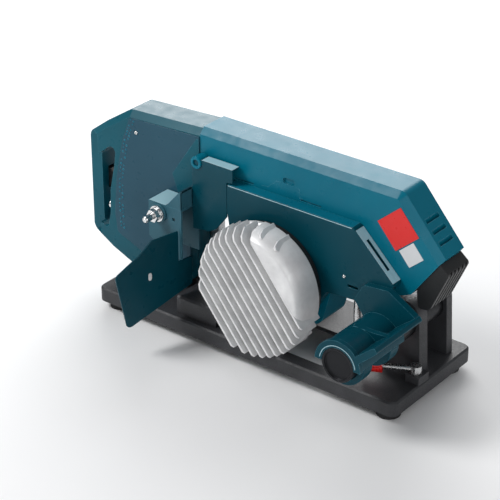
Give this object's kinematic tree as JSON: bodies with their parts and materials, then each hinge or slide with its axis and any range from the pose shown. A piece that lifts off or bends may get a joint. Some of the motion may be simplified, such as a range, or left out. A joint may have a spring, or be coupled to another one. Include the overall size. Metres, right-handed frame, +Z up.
{
  "type": "horizontal band saw",
  "caption": "Portable horizontal band saw: swinging bow with finned motor, D-handle and work stop on a cast base with a mitre vise.",
  "frame": {"origin": "on the floor under the middle of the front left rubber foot", "axes": "+X from the grip to the hinge end, +Y away from the operator's side, +Z up"},
  "size_m": [0.6257, 0.299, 0.309],
  "materials": {
    "teal_paint": "gloss",
    "dark_teal_paint": "gloss",
    "cast_alu": "satin",
    "machined_alu": "brushed",
    "zinc": "satin",
    "blade_steel": "satin",
    "black_plastic": "matte",
    "rubber": "matte",
    "red_plastic": "gloss",
    "base_cast": "satin",
    "dark_steel": "satin",
    "red_sticker": "gloss",
    "light_sticker": "gloss"
  },
  "bodies": {
    "base": {"base_tray": "base_cast", "table_strip": "base_cast", "vise_bed": "base_cast", "front_hinge_post": "base_cast", "rear_hinge_post": "base_cast", "rubber_feet": "rubber", "down_stop": "zinc", "hinge_tube": "dark_steel", "jaw_pivot": "zinc", "vise_nut": "base_cast"},
    "bow": {"bow_housing": "teal_paint", "left_housing": "dark_teal_paint", "left_panel": "dark_teal_paint", "back_cover": "dark_teal_paint", "blade": "blade_steel", "motor_tray": "dark_teal_paint", "stop_bracket": "dark_teal_paint", "bracket_bush": "zinc", "stop_mount": "dark_teal_paint", "stop_stud": "zinc", "work_stop": "dark_teal_paint", "motor_body": "dark_steel", "motor_fin_cover": "cast_alu", "square_label": "red_sticker", "plain_label": "light_sticker", "hinge_saddle": "dark_teal_paint", "saddle_straps": "dark_teal_paint", "end_cap": "black_plastic", "right_guide_arm": "machined_alu", "guide_rail": "zinc", "cover_screws": "zinc", "cable_gland": "black_plastic"},
    "drive_wheel": {"drive_wheel": "machined_alu", "drive_tyre": "rubber", "drive_shaft": "zinc"},
    "idler_carriage": {"idler_carriage": "machined_alu"},
    "idler_wheel": {"idler_wheel": "machined_alu", "idler_tyre": "rubber", "idler_bearing": "zinc"},
    "tension_screw": {"tension_screw": "zinc"},
    "trigger": {"trigger": "black_plastic"},
    "guide_arm": {"left_guide_arm": "machined_alu"},
    "guide_knob": {"guide_knob": "black_plastic"},
    "roller_left_front": {"guide_roller_left_front": "zinc"},
    "roller_left_back": {"guide_roller_left_back": "zinc"},
    "roller_right_front": {"guide_roller_right_front": "zinc"},
    "roller_right_back": {"guide_roller_right_back": "zinc"},
    "clamp_lever": {"clamp_lever": "zinc", "clamp_knob": "red_plastic"},
    "fixed_jaw": {"fixed_jaw": "base_cast"},
    "moving_jaw": {"moving_jaw": "base_cast"},
    "vise_screw": {"vise_screw": "zinc", "vise_wheel": "dark_steel"}
  },
  "joints": [
    {"name": "bow_pivot", "type": "hinge", "parent": "base", "child": "bow", "pos_m": [0.453, -0.034, 0.108], "axis": [0, 1, 0], "range_deg": [0, 50]},
    {"name": "drive_spin", "type": "hinge", "parent": "bow", "child": "drive_wheel", "pos_m": [0.2691, 0.066, 0.1321], "axis": [0, 1, 0], "continuous": true},
    {"name": "idler_tension", "type": "slide", "parent": "bow", "child": "idler_carriage", "axis": [1, 0, 0], "range_m": [0, 0.006]},
    {"name": "idler_spin", "type": "hinge", "parent": "idler_carriage", "child": "idler_wheel", "pos_m": [0.0299, 0.066, 0.1321], "axis": [0, 1, 0], "continuous": true},
    {"name": "tension_turn", "type": "hinge", "parent": "bow", "child": "tension_screw", "pos_m": [-0.024, 0.048, 0.1321], "axis": [1, 0, 0], "range_deg": [0, 1728]},
    {"name": "trigger_pull", "type": "slide", "parent": "bow", "child": "trigger", "axis": [-1, 0, 0], "range_m": [0, 0.005], "stiffness_N_per_m": 400},
    {"name": "guide_slide", "type": "slide", "parent": "bow", "child": "guide_arm", "axis": [1, 0, 0], "range_m": [0, 0.02]},
    {"name": "guide_lock", "type": "hinge", "parent": "guide_arm", "child": "guide_knob", "pos_m": [0.121, 0.096, 0.173], "axis": [0, 1, 0], "range_deg": [0, 180]},
    {"name": "roller_left_front_spin", "type": "hinge", "parent": "guide_arm", "child": "roller_left_front", "pos_m": [0.121, 0.0593, 0.07], "axis": [0, 0, 1], "continuous": true},
    {"name": "roller_left_back_spin", "type": "hinge", "parent": "guide_arm", "child": "roller_left_back", "pos_m": [0.121, 0.0727, 0.07], "axis": [0, 0, 1], "continuous": true},
    {"name": "roller_right_front_spin", "type": "hinge", "parent": "bow", "child": "roller_right_front", "pos_m": [0.184, 0.0593, 0.07], "axis": [0, 0, 1], "continuous": true},
    {"name": "roller_right_back_spin", "type": "hinge", "parent": "bow", "child": "roller_right_back", "pos_m": [0.184, 0.0727, 0.07], "axis": [0, 0, 1], "continuous": true},
    {"name": "clamp_turn", "type": "hinge", "parent": "base", "child": "clamp_lever", "pos_m": [0.49, 0.045, 0.052], "axis": [0, 0, 1], "range_deg": [0, 60]},
    {"name": "jaw_swivel", "type": "hinge", "parent": "base", "child": "fixed_jaw", "pos_m": [0.216, 0.116, 0.07], "axis": [0, 0, -1], "range_deg": [0, 45]},
    {"name": "jaw_slide", "type": "slide", "parent": "base", "child": "moving_jaw", "axis": [1, 0, 0], "range_m": [-0.01, 0.06]},
    {"name": "vise_screw_turn", "type": "hinge", "parent": "moving_jaw", "child": "vise_screw", "pos_m": [0.026, 0.136, 0.084], "axis": [1, 0, 0], "range_deg": [-1260, 7560]}
  ],
  "couplings": [
    {"joint": "idler_spin", "follows": "drive_spin", "ratio": 1},
    {"joint": "tension_turn", "follows": "idler_tension", "rad_per_m": 5026.5},
    {"joint": "vise_screw_turn", "follows": "jaw_slide", "rad_per_m": 2094.4}
  ]
}
